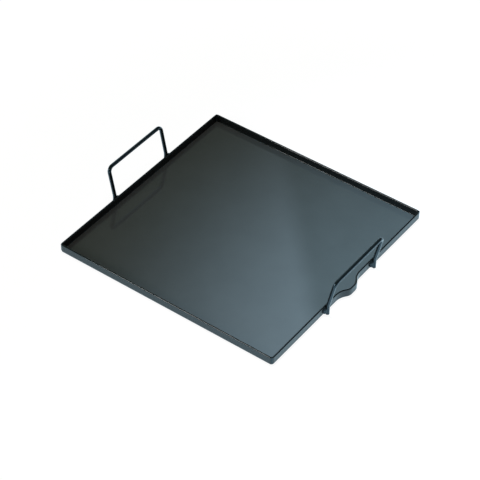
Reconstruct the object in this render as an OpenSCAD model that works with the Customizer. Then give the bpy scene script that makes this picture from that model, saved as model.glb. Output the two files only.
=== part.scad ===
// Camp griddle plate: a shallow square tray folded from one steel sheet, with welded corners, a pour lip
// pressed into the front wall, and a bent round-bar handle welded outside the front and the rear wall.
// The front wall is at +X, right is +Y, and the plate rests on z = 0 with its centre at the origin.

/* [Plate] */
// Outside length over the front and rear walls
plate_length = 356; // [280:2:460]
// Outside width over the left and right walls
plate_width = 356; // [280:2:460]
// Height of the folded rim above the resting face
rim_height = 14; // [12:0.5:24]
// Thickness of the steel sheet
sheet = 2.5; // [1.5:0.1:3.2]
// Inside radius of the fold between the floor and the rim
fold_radius = 0.75; // [0.5:0.25:1.75]
// Inside radius of the rim's upright corners
corner_radius = 2; // [2:0.5:10]
// How much thinner sheet and bar are drawn where they are bent after cutting, at the lip and over the rim
bend_thinning = 0.08; // [0.06:0.02:0.3]

/* [Pour lip] */
// How far the front of the lip stands out from the front wall
lip_reach = 9; // [8.5:0.5:14]
// Length of the straight front of the lip, between its bends
lip_front = 8; // [2:0.5:10]
// Inside radius of the bends at the lip's front
lip_tip_radius = 10; // [5:0.5:11]
// Outside radius of the bends where the wall turns out into the lip
lip_root_radius = 26; // [16:1:27]
// How far the lip stands to the left of the middle
lip_aside = 3; // [0:0.5:10]

/* [Handles] */
// Diameter of the round bar
bar_d = 5.5; // [3:0.25:7]
// Distance between the axes of the front handle's two legs
front_spacing = 112; // [100:2:150]
// Distance between the axes of the rear handle's two legs
rear_spacing = 116; // [100:2:150]
// How far the rear handle stands to the right of the middle
rear_aside = 2; // [0:0.5:10]
// Length of the leaning part, from the bend above the rim to the axis of the grip
handle_rise = 45; // [30:1:70]
// Outward lean of the handles in degrees
handle_lean = 11.5; // [4:0.5:25]
// Radius of the bends at the ends of the grip, on the bar's axis
grip_bend = 7.5; // [6:0.5:16]
// Radius of the bend above the rim, on the bar's axis
lean_bend = 8; // [6:0.5:16]
// Height of the leg ends above the resting face
leg_end = 0.5; // [0.25:0.25:3]
// Height above the rim at which the legs start to lean
lean_start = 0.5; // [0:0.25:4]

/* [Welds] */
// Radius of the main bead of a leg, on its left as seen from outside
main_bead_radius = 3.4; // [2.6:0.1:3.8]
// Radius of the smaller bead on the leg's other side
back_bead_radius = 2.4; // [2:0.1:2.8]
// Distance of a bead's axis from the wall
leg_bead_out = 0.4; // [0:0.1:0.8]
// Distance of a bead's axis from the side of the bar
leg_bead_aside = 1.2; // [0.8:0.1:1.6]
// Height of the lower end of the beads above the resting face
leg_bead_low = 2.25; // [1.5:0.25:4]
// Depth of the upper end of the beads below the rim
leg_bead_drop = 0.75; // [0.25:0.25:3]
// How far a corner weld stands proud of the sheet
corner_weld_proud = 0.35; // [0.1:0.05:0.6]
// Height of the corner welds above the rim
corner_weld_rise = 0.5; // [0.2:0.05:0.8]

/* [Hidden] */
$fn = 64;

front_x = plate_length / 2;
side_y = plate_width / 2;
fold_outer = fold_radius + sheet;
corner_outer = corner_radius + sheet;
tip_outer = lip_tip_radius + sheet;

// Slope of the lip's sides: along the wall, and out from it
lip_splay = [4, 3];
lip_turn = atan2(lip_splay.y, lip_splay.x);
lip_radii = lip_root_radius + tip_outer;
lip_side = (lip_reach - lip_radii * (1 - cos(lip_turn))) / sin(lip_turn);
lip_half = lip_front / 2 + lip_radii * sin(lip_turn) + lip_side * cos(lip_turn);
// Flat floor from the fold to the axis of a corner bend and of a bend at the lip's front
corner_floor = corner_outer - fold_outer;
tip_floor = tip_outer - fold_outer;
// Floor that the stretches of the front wall carry inwards, to close the floor inside the lip
lip_floor = lip_reach + corner_outer;

bar_r = bar_d / 2;
leg_x = front_x + bar_r;
front_leg_y = front_spacing / 2;
rear_leg_y = rear_spacing / 2;
lean_z = rim_height + lean_start;
corner_bead_r = sheet / 2 + corner_weld_proud;
// A bend's step in from the full section on each face, and the part of it that the curve of its lap takes up
bend_step = bend_thinning / 2;
lap_sag = bend_step / 4;
enamel = [0.09, 0.1, 0.1];
weld_enamel = [0.13, 0.14, 0.14];

// Section of the rim: its outer face on x = 0, a round upper edge, the fold, and a strip of floor.
// In a bend all but the inner part of that strip is thinner by step on each face.
module rim_section(floor_in, step = 0) {
    edge = sheet / 2;
    translate([-edge, rim_height - edge]) circle(r = edge - step);
    translate([step - sheet, fold_outer]) square([sheet - 2 * step, rim_height - edge - fold_outer]);
    translate([-fold_outer, fold_outer]) intersection() {
        difference() {
            circle(r = fold_outer - step);
            circle(r = fold_radius + step);
        }
        translate([0, -fold_outer]) square(fold_outer);
    }
    translate([-fold_outer - floor_in, step]) square([floor_in, sheet - 2 * step]);
    if (step > 0) translate([-fold_outer - floor_in, 0]) square([floor_in - fold_radius, sheet]);
}

// Straight stretch of rim along +Y, with its outer face on x = 0
module straight_rim(run, floor_in) {
    translate([0, run, 0]) rotate([90, 0, 0]) linear_extrude(run) rim_section(floor_in);
}

// Rim bent inwards round the Z axis, a quarter turn from +X
module corner_bend() {
    rotate_extrude(angle = 90) translate([corner_outer, 0]) rim_section(corner_floor * 3 / 4);
}

// Section in children() bent round the Z axis, from -X clockwise by turn.
// It laps into what it meets at both ends.
module lapped_bend(radius, turn) {
    lap = acos(1 - lap_sag / radius);
    rotate_extrude(start = 180 - turn - lap, angle = turn + 2 * lap) translate([radius, 0]) children();
}

// Half of the lip from the wall outwards, with the wall on its left: root bend, side, tip bend and front.
// The frame follows each bend, and the wall and the front are drawn too long.
module lip_half_sweep() {
    translate([0, -side_y, 0]) straight_rim(side_y, lip_floor);
    translate([lip_root_radius, 0, 0]) {
        lapped_bend(lip_root_radius, lip_turn) mirror([1, 0]) rim_section(lip_floor, bend_step);
        rotate([0, 0, -lip_turn]) translate([-lip_root_radius, 0, 0]) {
            straight_rim(lip_side, lip_floor);
            translate([-tip_outer, lip_side, 0]) {
                mirror([1, 0, 0]) lapped_bend(tip_outer, lip_turn) rim_section(tip_floor * 3 / 4, bend_step);
                rotate([0, 0, lip_turn]) translate([tip_outer, 0, 0]) straight_rim(lip_front, lip_floor);
            }
        }
    }
}

// Left half of the front wall, cut off at the middle of the lip and at run from there
module front_wall_half(run) {
    intersection() {
        translate([front_x, -lip_half, 0]) lip_half_sweep();
        translate([0, -run, -rim_height]) cube([plate_length, run, 3 * rim_height]);
    }
}

// Flat floor, and its tongue inside the lip. Both end half-way from the axes of the bends to the folds.
module floor_sheet() {
    half_x = front_x - corner_outer + corner_floor / 2;
    half_y = side_y - corner_outer + corner_floor / 2;
    tongue_x = front_x + lip_reach - tip_outer + tip_floor / 2;
    tongue_y = lip_front / 2 + tip_floor / 2;
    translate([-half_x, -half_y, 0]) cube([2 * half_x, 2 * half_y, sheet]);
    translate([0, -lip_aside - tongue_y, 0]) cube([tongue_x, 2 * tongue_y, sheet]);
}

// Bead of weld on the Z axis, from z = 0 up to a round top
module round_bead(radius, height) {
    cylinder(r = radius, h = height - radius);
    translate([0, 0, height - radius]) sphere(r = radius);
}

// Bead that fills the seam of one upright corner, in the middle of the sheet
module corner_bead(side_x, side) {
    reach = corner_radius + sheet / 2;
    translate([
        side_x * (front_x - corner_outer + reach * cos(45)),
        side * (side_y - corner_outer + reach * sin(45)),
        fold_outer,
    ]) round_bead(corner_bead_r, rim_height + corner_weld_rise - fold_outer);
}

module griddle_plate() {
    color(enamel) difference() {
        union() {
            floor_sheet();
            translate([0, -lip_aside, 0]) for (side = [-1, 1]) mirror([0, side + 1, 0])
                front_wall_half(side_y - corner_outer + side * lip_aside);
            for (mirrored = [0, 1]) mirror([0, mirrored, 0]) {
                translate([front_x - corner_outer, side_y, 0]) rotate([0, 0, 90])
                    straight_rim(plate_length - 2 * corner_outer, corner_floor);
                for (turned = [0, 1]) mirror([turned, 0, 0])
                    translate([front_x - corner_outer, side_y - corner_outer, 0]) corner_bend();
            }
            translate([-front_x, side_y - corner_outer, 0]) rotate([0, 0, 180])
                straight_rim(plate_width - 2 * corner_outer, corner_floor);
        }
        for (side_x = [-1, 1], side = [-1, 1]) corner_bead(side_x, side);
    }
}

// Bow of a handle, upright over the origin: two straight legs, their bends and the grip
module bow(spacing) {
    rise = handle_rise - grip_bend;
    length = spacing - 2 * grip_bend;
    for (mirrored = [0, 1]) mirror([0, mirrored, 0]) translate([0, spacing / 2, 0]) {
        cylinder(d = bar_d, h = rise);
        translate([0, -grip_bend, rise]) rotate([90, 0, 90]) rotate_extrude(angle = 90)
            translate([grip_bend, 0]) circle(d = bar_d);
    }
    translate([0, length / 2, handle_rise]) rotate([90, 0, 0]) cylinder(d = bar_d, h = length);
}

// Handle at the front wall: upright feet, a bend over the rim in each leg, and the leaning bow
module handle(spacing) {
    color(enamel) translate([leg_x + lean_bend, 0, lean_z]) {
        for (leg_side = [-1, 1]) translate([0, leg_side * spacing / 2, 0]) {
            translate([-lean_bend, 0, leg_end - lean_z]) cylinder(d = bar_d, h = lean_z - leg_end);
            rotate([90, 0, 0]) lapped_bend(lean_bend, handle_lean) circle(r = bar_r - bend_step);
        }
        rotate([0, handle_lean, 0]) translate([-lean_bend, 0, 0]) bow(spacing);
    }
}

// Fillet bead between the leg at leg_y and the front wall, on the side of the leg that flank picks
module leg_bead(leg_y, flank, radius) {
    high = rim_height - leg_bead_drop;
    middle = (leg_bead_low + high) / 2;
    block = bar_d + 4 * radius;
    color(weld_enamel) difference() {
        translate([front_x + leg_bead_out, leg_y + flank * (bar_r + leg_bead_aside), middle])
            for (end = [0, 1]) mirror([0, 0, end]) round_bead(radius, high - middle);
        translate([front_x - block, leg_y - block, 0]) cube([block, 2 * block, rim_height]);
        translate([leg_x, leg_y, 0]) cylinder(d = bar_d, h = rim_height);
    }
}

// Places what is drawn for the front wall at the rear wall
module rear() {
    translate([0, rear_aside, 0]) mirror([1, 0, 0]) children();
}

module corner_weld(side_x, side) {
    color(weld_enamel) corner_bead(side_x, side);
}

griddle_plate();
handle(front_spacing);  // front_handle
rear() handle(rear_spacing);  // rear_handle
corner_weld(1, -1);  // front_left_corner_weld
corner_weld(1, 1);  // front_right_corner_weld
corner_weld(-1, -1);  // rear_left_corner_weld
corner_weld(-1, 1);  // rear_right_corner_weld
leg_bead(-front_leg_y, -1, main_bead_radius);  // front_left_leg_outer_weld
leg_bead(-front_leg_y, 1, back_bead_radius);  // front_left_leg_inner_weld
leg_bead(front_leg_y, 1, back_bead_radius);  // front_right_leg_outer_weld
leg_bead(front_leg_y, -1, main_bead_radius);  // front_right_leg_inner_weld
rear() leg_bead(-rear_leg_y, -1, back_bead_radius);  // rear_left_leg_outer_weld
rear() leg_bead(-rear_leg_y, 1, main_bead_radius);  // rear_left_leg_inner_weld
rear() leg_bead(rear_leg_y, 1, main_bead_radius);  // rear_right_leg_outer_weld
rear() leg_bead(rear_leg_y, -1, back_bead_radius);  // rear_right_leg_inner_weld
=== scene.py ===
"""Camp griddle plate: camera, enamel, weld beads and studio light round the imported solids."""
import math

import bmesh
import bpy
from mathutils import Matrix, Vector, noise as hills


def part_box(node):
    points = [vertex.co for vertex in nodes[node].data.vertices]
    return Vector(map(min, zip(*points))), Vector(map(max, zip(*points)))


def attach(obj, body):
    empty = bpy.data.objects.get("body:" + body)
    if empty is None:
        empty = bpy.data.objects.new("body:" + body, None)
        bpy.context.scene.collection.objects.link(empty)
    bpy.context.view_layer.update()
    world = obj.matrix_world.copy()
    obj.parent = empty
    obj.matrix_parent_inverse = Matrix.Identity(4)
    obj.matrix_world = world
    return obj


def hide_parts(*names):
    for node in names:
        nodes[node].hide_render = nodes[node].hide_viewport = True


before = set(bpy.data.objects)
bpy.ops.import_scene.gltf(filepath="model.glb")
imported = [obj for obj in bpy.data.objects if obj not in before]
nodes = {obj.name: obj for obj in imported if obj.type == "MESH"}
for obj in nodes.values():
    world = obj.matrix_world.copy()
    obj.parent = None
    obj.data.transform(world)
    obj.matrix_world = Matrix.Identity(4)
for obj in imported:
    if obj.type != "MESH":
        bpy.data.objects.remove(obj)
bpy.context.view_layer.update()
scene = bpy.context.scene
scene.view_settings.view_transform = "Standard"

# White for the camera, and the cooler white that the enamel mirrors
WHITE = (1.0, 1.0, 1.0, 1.0)
COOL_WHITE = (0.66, 0.89, 1.0, 1.0)


# Node helpers

# Ends of a span that falls from one to nothing
FALLING = (1.0, 0.0)


def new_material(name):
    mat = bpy.data.materials.new(name)
    mat.use_nodes = True
    mat.node_tree.nodes.clear()
    return mat, mat.node_tree


def plug(tree, socket, value):
    if isinstance(value, bpy.types.NodeSocket):
        tree.links.new(value, socket)
    else:
        socket.default_value = value


def add(tree, kind, inputs=(), **settings):
    node = tree.nodes.new(kind)
    for name, value in settings.items():
        setattr(node, name, value)
    for name, value in dict(inputs).items():
        plug(tree, node.inputs[name], value)
    return node


def maths(tree, operation, *values):
    return add(tree, "ShaderNodeMath", dict(enumerate(values)), operation=operation).outputs[0]


def span(tree, value, low, high, to_low=0.0, to_high=1.0):
    return add(tree, "ShaderNodeMapRange", {
        "Value": value, "From Min": low, "From Max": high, "To Min": to_low, "To Max": to_high,
    }, interpolation_type="SMOOTHSTEP").outputs["Result"]


def speckle(tree, place, scale, detail=2.0, roughness=0.5):
    return add(tree, "ShaderNodeTexNoise", {
        "Vector": place, "Scale": scale, "Detail": detail, "Roughness": roughness,
    }).outputs["Fac"]


def mixed(tree, share, first, second):
    return add(tree, "ShaderNodeMix", {0: share, 6: first, 7: second}, data_type="RGBA").outputs[2]


def axes(tree, vector):
    return add(tree, "ShaderNodeSeparateXYZ", {0: vector}).outputs


# Black enamel: a near-black base with orange peel and fine grain, under a thin clear skin that mirrors

CLOUD_SCALE = 22.0  # per metre
CLOUD_SPAN = (0.3, 0.7)
DARK_CLOUD = 0.96
LIGHT_CLOUD = 1.04
GRAIN_SCALE = 1900.0  # per metre
GRAIN_HEIGHT = 0.12  # share of the orange peel's height
FLECK_SPAN = (0.55, 0.8)
FLECK_TONE = 1.3
FLECK_SHARE = 0.5
FLECK_ROUGHNESS = 0.05
ROUGH_SPAN = (0.25, 0.75)
SMOOTHEST = -0.015  # added to the roughness where the cloud is weak
ROUGHEST = 0.025  # added to it where the cloud is strong
SHEEN_TINT = (0.36, 0.74, 1.0, 1.0)
TRAY_FACING = (0.8, 0.95)  # upward part of the normal
TRAY_HEIGHT = (0.003, 0.006)  # metres above the resting face


def shade(tone, factor):
    return (*[c * factor for c in tone], 1)


def enamel(name, tone, peel_scale, peel_height, roughness, coat, sheen=0.5, tray_painted_light=1.0, tray_coat=0.0):
    mat, tree = new_material(name)
    coords = add(tree, "ShaderNodeTexCoord").outputs
    place = coords["Object"]
    cloud = speckle(tree, place, CLOUD_SCALE, detail=4.0, roughness=0.55)
    peel = speckle(tree, place, peel_scale)
    grain = speckle(tree, place, GRAIN_SCALE, detail=1.0)
    fleck = span(tree, grain, *FLECK_SPAN)
    base = mixed(tree, span(tree, cloud, *CLOUD_SPAN), shade(tone, DARK_CLOUD), shade(tone, LIGHT_CLOUD))
    base = mixed(tree, maths(tree, "MULTIPLY", fleck, FLECK_SHARE), base, shade(tone, FLECK_TONE))

    # The tray's floor, which faces up and lies low, can have a lighter base, which is painted light on the
    # floor, and a fuller skin
    facing_up = span(tree, axes(tree, coords["Normal"])["Z"], *TRAY_FACING)
    low_down = span(tree, axes(tree, place)["Z"], *TRAY_HEIGHT, *FALLING)
    on_tray = maths(tree, "MULTIPLY", facing_up, low_down)
    painted_light = maths(tree, "MULTIPLY_ADD", on_tray, tray_painted_light - 1.0, 1.0)
    skin = maths(tree, "MULTIPLY_ADD", on_tray, tray_coat, coat)
    base = add(tree, "ShaderNodeVectorMath", {0: base, "Scale": painted_light}, operation="SCALE").outputs["Vector"]

    cloudy = span(tree, cloud, *ROUGH_SPAN, roughness + SMOOTHEST, roughness + ROUGHEST)
    rough = maths(tree, "ADD", cloudy, maths(tree, "MULTIPLY", fleck, FLECK_ROUGHNESS))
    height = maths(tree, "ADD", peel, maths(tree, "MULTIPLY", grain, GRAIN_HEIGHT))
    bump = add(tree, "ShaderNodeBump", {"Height": height, "Strength": 1.0, "Distance": peel_height})
    shader = add(tree, "ShaderNodeBsdfPrincipled", {
        "Base Color": base, "Roughness": rough, "Normal": bump.outputs["Normal"], "IOR": 1.5,
        "Specular IOR Level": sheen, "Specular Tint": SHEEN_TINT,
        "Coat Weight": skin, "Coat IOR": 1.6, "Coat Roughness": 0.03,
    })
    add(tree, "ShaderNodeOutputMaterial", {"Surface": shader.outputs[0]})
    return mat


# The tray floor's base is made 13.5 times lighter than the walls and rim: painted light standing in for
# light falling on it
plate_enamel = enamel(
    "plate_enamel", tone=(0.0040, 0.0040, 0.0038), peel_scale=420.0, peel_height=0.000014,
    roughness=0.50, coat=0.85, sheen=0.1, tray_painted_light=13.5, tray_coat=0.15)
handle_enamel = enamel(
    "handle_enamel", tone=(0.005, 0.0054, 0.0052), peel_scale=520.0, peel_height=0.00002,
    roughness=0.09, coat=0.4)
weld_enamel = enamel(
    "weld_enamel", tone=(0.006, 0.0064, 0.0062), peel_scale=700.0, peel_height=0.00003,
    roughness=0.12, coat=0.4)

for name, obj in nodes.items():
    if name.endswith("weld"):
        mat = weld_enamel
    elif name.endswith("handle"):
        mat = handle_enamel
    else:
        mat = plate_enamel
    obj.data.materials.clear()
    obj.data.materials.append(mat)


# Weld beads: each one a run of overlapping ripples, which shows no further out than the solid it stands for

BEAD_SIDES = 48  # points round a ring
RING_STEP = 0.00016  # metres from ring to ring
SMALLEST_RING = 0.02  # share of the radius, at a rounded end
RIPPLE_PITCH = 0.00155  # metres from crest to crest
RIPPLE_BOW = 0.45  # ripples by which a crest rises, per squared radian off the facing side
RIPPLE_WANDER = 0.12  # ripples by which a crest strays
RIPPLE_EDGE = 0.75  # radians off the facing side where a corner weld's ripples end
RIPPLE_FADE = 0.15  # radians over which they fade out
CREST_LEAN = 0.7  # power that leans a crest to one side
LUMP_SCALE = 450  # per metre along the bead
LUMP_DEPTH = 0.03  # share of the radius


def bead_mesh(name, middle, radius, low, high, facing, both_ends, depth, seed):
    rings = int((high - low) / RING_STEP)
    bm = bmesh.new()
    loops = []
    for i in range(rings + 1):
        z = low + (high - low) * i / rings
        end = min(high - z, z - low if both_ends else radius, radius)
        swell = max(math.sqrt(1 - (1 - end / radius) ** 2), SMALLEST_RING)
        loop = []
        for j in range(BEAD_SIDES):
            angle = 2 * math.pi * j / BEAD_SIDES
            off = math.remainder(angle - facing, 2 * math.pi)
            if both_ends:
                show = 1.0
            else:
                # A corner weld has ripples outside and inside, and none where it meets the walls
                off = min(abs(off), math.pi - abs(off))
                show = min(max((RIPPLE_EDGE - off) / RIPPLE_FADE, 0.0), 1.0)
            lump = hills.noise(Vector((2 * math.cos(angle), 2 * math.sin(angle) + seed, z * LUMP_SCALE)))
            step = (z - low) / RIPPLE_PITCH - RIPPLE_BOW * off * off + RIPPLE_WANDER * lump
            crest = math.sin(math.pi * (step - math.floor(step)) ** CREST_LEAN)
            r = radius * swell * (1 - show * depth * (1 - crest) - show * LUMP_DEPTH * (1 + lump) / 2)
            loop.append(bm.verts.new((middle[0] + r * math.cos(angle), middle[1] + r * math.sin(angle), z)))
        loops.append(loop)
    for lower, upper in zip(loops, loops[1:]):
        for j in range(BEAD_SIDES):
            k = (j + 1) % BEAD_SIDES
            bm.faces.new((lower[j], lower[k], upper[k], upper[j]))
    bm.faces.new(loops[0][::-1])
    bm.faces.new(loops[-1])
    for face in bm.faces:
        face.smooth = True
    mesh = bpy.data.meshes.new(name)
    bm.to_mesh(mesh)
    bm.free()
    return mesh


# How far out the rear wall's outer face is, and on the other side the front wall's
WALL = -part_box("griddle_plate")[0][0]
LEG_BEAD_OUT = 0.0004  # metres from the wall to the bead's axis
LEG_BEAD_SUNK = 0.0008  # metres that the bead reaches into the wall
LEG_DEPTH = 0.11  # depth of the ripples as a share of the radius
CORNER_DEPTH = 0.13  # the same for a corner weld
SEED_STEP = 7.3  # makes each bead's lumps its own

welds = [n for n in nodes if n.endswith("weld")]
for seed, node in enumerate(sorted(welds)):
    low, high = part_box(node)
    side = 1 if node.startswith("front") else -1
    corner = "corner" in node
    if corner:
        middle = [(low[i] + high[i]) / 2 for i in (0, 1)]
        radius = (high[0] - low[0]) / 2
        facing = math.atan2(middle[1], middle[0])
        depth = CORNER_DEPTH
    else:
        flank = 1 if ("left" in node) == ("inner" in node) else -1
        radius = max(high[0], -low[0]) - WALL - LEG_BEAD_OUT
        middle = (side * (WALL + LEG_BEAD_OUT), low[1] + radius if flank < 0 else high[1] - radius)
        facing = math.atan2(flank, side)
        depth = LEG_DEPTH
    name = node.replace("weld", "bead")
    mesh = bead_mesh(name, middle, radius, low[2], high[2], facing, not corner, depth, SEED_STEP * seed)
    if not corner:
        # A leg bead ends flat, a little way into the wall
        for v in mesh.vertices:
            v.co.x = side * max(side * v.co.x, WALL - LEG_BEAD_SUNK)
    piece = bpy.data.objects.new(name, mesh)
    piece.data.materials.append(weld_enamel)
    scene.collection.objects.link(piece)
    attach(piece, "root")
    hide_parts(node)


# Studio planes, which aren't part of the object

def stage_plane(name, size_x, size_y, matrix):
    mesh = bpy.data.meshes.new(name)
    x = size_x / 2
    y = size_y / 2
    mesh.from_pydata([(-x, -y, 0), (x, -y, 0), (x, y, 0), (-x, y, 0)], [], [(0, 1, 2, 3)])
    obj = bpy.data.objects.new(name, mesh)
    scene.collection.objects.link(obj)
    obj.matrix_world = matrix
    return obj


# White floor: it glows for the camera and in mirrors, where it is a cooler white, and takes a faint shadow

FLOOR_SIZE = 40.0
FLOOR_DROP = 0.0004  # metres below the resting face
FLOOR_GREY = (0.13, 0.13, 0.13, 1.0)
GLOW_REACH = (0.3, 1.2)  # metres from the middle
GLOW_STRENGTH = (0.94, 1.02)


def floor_material():
    mat, tree = new_material("studio_floor")
    path = add(tree, "ShaderNodeLightPath").outputs
    seen = maths(tree, "MAXIMUM", path["Is Camera Ray"], path["Is Glossy Ray"])
    place = add(tree, "ShaderNodeTexCoord").outputs["Object"]
    reach = add(tree, "ShaderNodeVectorMath", {0: place}, operation="LENGTH").outputs["Value"]
    glow = maths(tree, "MULTIPLY", seen, span(tree, reach, *GLOW_REACH, *GLOW_STRENGTH))
    diffuse = add(tree, "ShaderNodeBsdfDiffuse", {"Color": FLOOR_GREY})
    colour = mixed(tree, path["Is Camera Ray"], COOL_WHITE, WHITE)
    emit = add(tree, "ShaderNodeEmission", {"Color": colour, "Strength": glow})
    both = add(tree, "ShaderNodeAddShader", {0: diffuse.outputs[0], 1: emit.outputs[0]})
    add(tree, "ShaderNodeOutputMaterial", {"Surface": both.outputs[0]})
    return mat


floor = stage_plane("studio_floor", FLOOR_SIZE, FLOOR_SIZE, Matrix.Translation((0, 0, -FLOOR_DROP)))
floor.data.materials.append(floor_material())


# Softbox overhead, which fades to the left: a slanted edge parts its bright near end from its dim far end

SOFTBOX_SIZE = (1.8, 3.2)
SOFTBOX_PLACE = (-0.6, 0.5, 1.25)
SOFTBOX_COLOUR = (0.74, 0.97, 1.18, 1.0)
NEAR_AND_FAR_STRENGTH = (1.75, 0.15)
SLANT = (0.745, 0.667)  # direction across the slanted edge, in X and Y
SLANT_STEP = (0.25, 0.32)  # metres along that direction
LEFT_SKEW = 0.081  # share of Y in the direction of the left fade
LEFT_FADE = (-0.968, -0.033)  # metres along that direction
RIGHT_FADE = (-0.42, -0.12)  # metres along X
NEAR_FADE = (0.2, 0.6)  # metres along Y
FAR_FADE = (1.5, 1.9)  # metres along Y


def softbox_material():
    mat, tree = new_material("studio_softbox")
    spot = axes(tree, add(tree, "ShaderNodeNewGeometry").outputs["Position"])
    across = maths(tree, "MULTIPLY_ADD", spot["Y"], LEFT_SKEW, spot["X"])
    slant = maths(tree, "MULTIPLY", spot["X"], SLANT[0])
    slant = maths(tree, "MULTIPLY_ADD", spot["Y"], SLANT[1], slant)
    glow = span(tree, across, *LEFT_FADE)
    for factor in (
        span(tree, spot["X"], *RIGHT_FADE, *FALLING),
        span(tree, slant, *SLANT_STEP, *NEAR_AND_FAR_STRENGTH),
        span(tree, spot["Y"], *NEAR_FADE),
        span(tree, spot["Y"], *FAR_FADE, *FALLING),
    ):
        glow = maths(tree, "MULTIPLY", glow, factor)
    emit = add(tree, "ShaderNodeEmission", {"Color": SOFTBOX_COLOUR, "Strength": glow})
    clear = add(tree, "ShaderNodeBsdfTransparent")
    both = add(tree, "ShaderNodeAddShader", {0: emit.outputs[0], 1: clear.outputs[0]})
    add(tree, "ShaderNodeOutputMaterial", {"Surface": both.outputs[0]})
    return mat


facing_down = Matrix.Rotation(math.pi, 4, "X")
softbox = stage_plane("studio_softbox", *SOFTBOX_SIZE, Matrix.Translation(SOFTBOX_PLACE) @ facing_down)
softbox.data.materials.append(softbox_material())
softbox.visible_camera = False
softbox.visible_shadow = False


# Lamps

def add_lamp(name, kind, watts, place, aim, **settings):
    data = bpy.data.lights.new(name, kind)
    data.energy = watts
    for setting, value in settings.items():
        setattr(data, setting, value)
    lamp = bpy.data.objects.new(name, data)
    scene.collection.objects.link(lamp)
    backward = Vector(place) - Vector(aim)
    turn = backward.to_track_quat("Z", "Y").to_matrix().to_4x4()
    lamp.matrix_world = Matrix.Translation(place) @ turn
    return lamp


MIDDLE = (0.0, 0.0, 0.0)

# Cool key lamp over the tray, aimed past its front wall, so that its light falls off towards the rear wall
key = add_lamp(
    "key", "SPOT", 255.0, place=(-0.1, 0.1, 1.4), aim=(0.495, 0.03, 0.0), color=(0.455, 0.75, 1.0),
    spot_size=math.radians(49.5), spot_blend=1.0, shadow_soft_size=0.15)
key.visible_glossy = False

# Warm fill higher over the tray, left out of mirrored light as the key is
fill = add_lamp(
    "fill", "AREA", 12.7, place=(-0.12, 0.12, 2.3), aim=MIDDLE, color=(1.0, 0.90, 0.80),
    shape="DISK", size=0.8)
fill.visible_glossy = False

# Square panel low in front on the left, which draws the light lines on the rim and the bends
add_lamp("edge", "AREA", 9.0, place=(-0.73, -1.6, 0.8), aim=MIDDLE, shape="SQUARE", size=0.5)


# Studio room: cool white low down, dim above, and darker still on the right

HORIZON = (0.04, 0.2)  # upward part of the direction
CEILING_LEFT = (0.105, 0.140, 0.105, 1.0)
CEILING_RIGHT = (0.03, 0.036, 0.036, 1.0)
CEILING_SKEW = 0.5  # share of Y in the direction from left to right
LEFT_TO_RIGHT = (-0.3, 0.5)

world = bpy.data.worlds.new("studio")
scene.world = world
world.use_nodes = True
tree = world.node_tree
tree.nodes.clear()
direction = axes(tree, add(tree, "ShaderNodeTexCoord").outputs["Generated"])
rightward = maths(tree, "MULTIPLY_ADD", direction["Y"], CEILING_SKEW, direction["X"])
ceiling = mixed(tree, span(tree, rightward, *LEFT_TO_RIGHT), CEILING_LEFT, CEILING_RIGHT)
room = mixed(tree, span(tree, direction["Z"], *HORIZON), COOL_WHITE, ceiling)
background = add(tree, "ShaderNodeBackground", {"Color": room, "Strength": 1.0})
add(tree, "ShaderNodeOutputWorld", {"Surface": background.outputs[0]})


# Camera at the photograph's place

AZIMUTH = 35.384  # degrees
ELEVATION = 42.626  # degrees
ROLL = 1.2803  # degrees
DISTANCE = 2.5347  # metres
PHOTO_PX = 480
FOCAL_PX = 1833.37
SHIFT_PX = (2.25, -5.19)
SENSOR_MM = 36.0

az, el, roll = (math.radians(a) for a in (AZIMUTH, ELEVATION, ROLL))
backward = Vector((math.sin(az) * math.cos(el), -math.cos(az) * math.cos(el), math.sin(el)))
level_right = Vector((0, 0, 1)).cross(backward).normalized()
level_up = backward.cross(level_right)
right = math.cos(roll) * level_right + math.sin(roll) * level_up
up = math.cos(roll) * level_up - math.sin(roll) * level_right
optics = bpy.data.cameras.new("camera")
optics.sensor_width = SENSOR_MM
optics.lens = FOCAL_PX / PHOTO_PX * SENSOR_MM
optics.shift_x = -SHIFT_PX[0] / PHOTO_PX
optics.shift_y = SHIFT_PX[1] / PHOTO_PX
camera = bpy.data.objects.new("camera", optics)
scene.collection.objects.link(camera)
turn = Matrix((right, up, backward)).transposed().to_4x4()
camera.matrix_world = Matrix.Translation(backward * DISTANCE) @ turn
scene.camera = camera
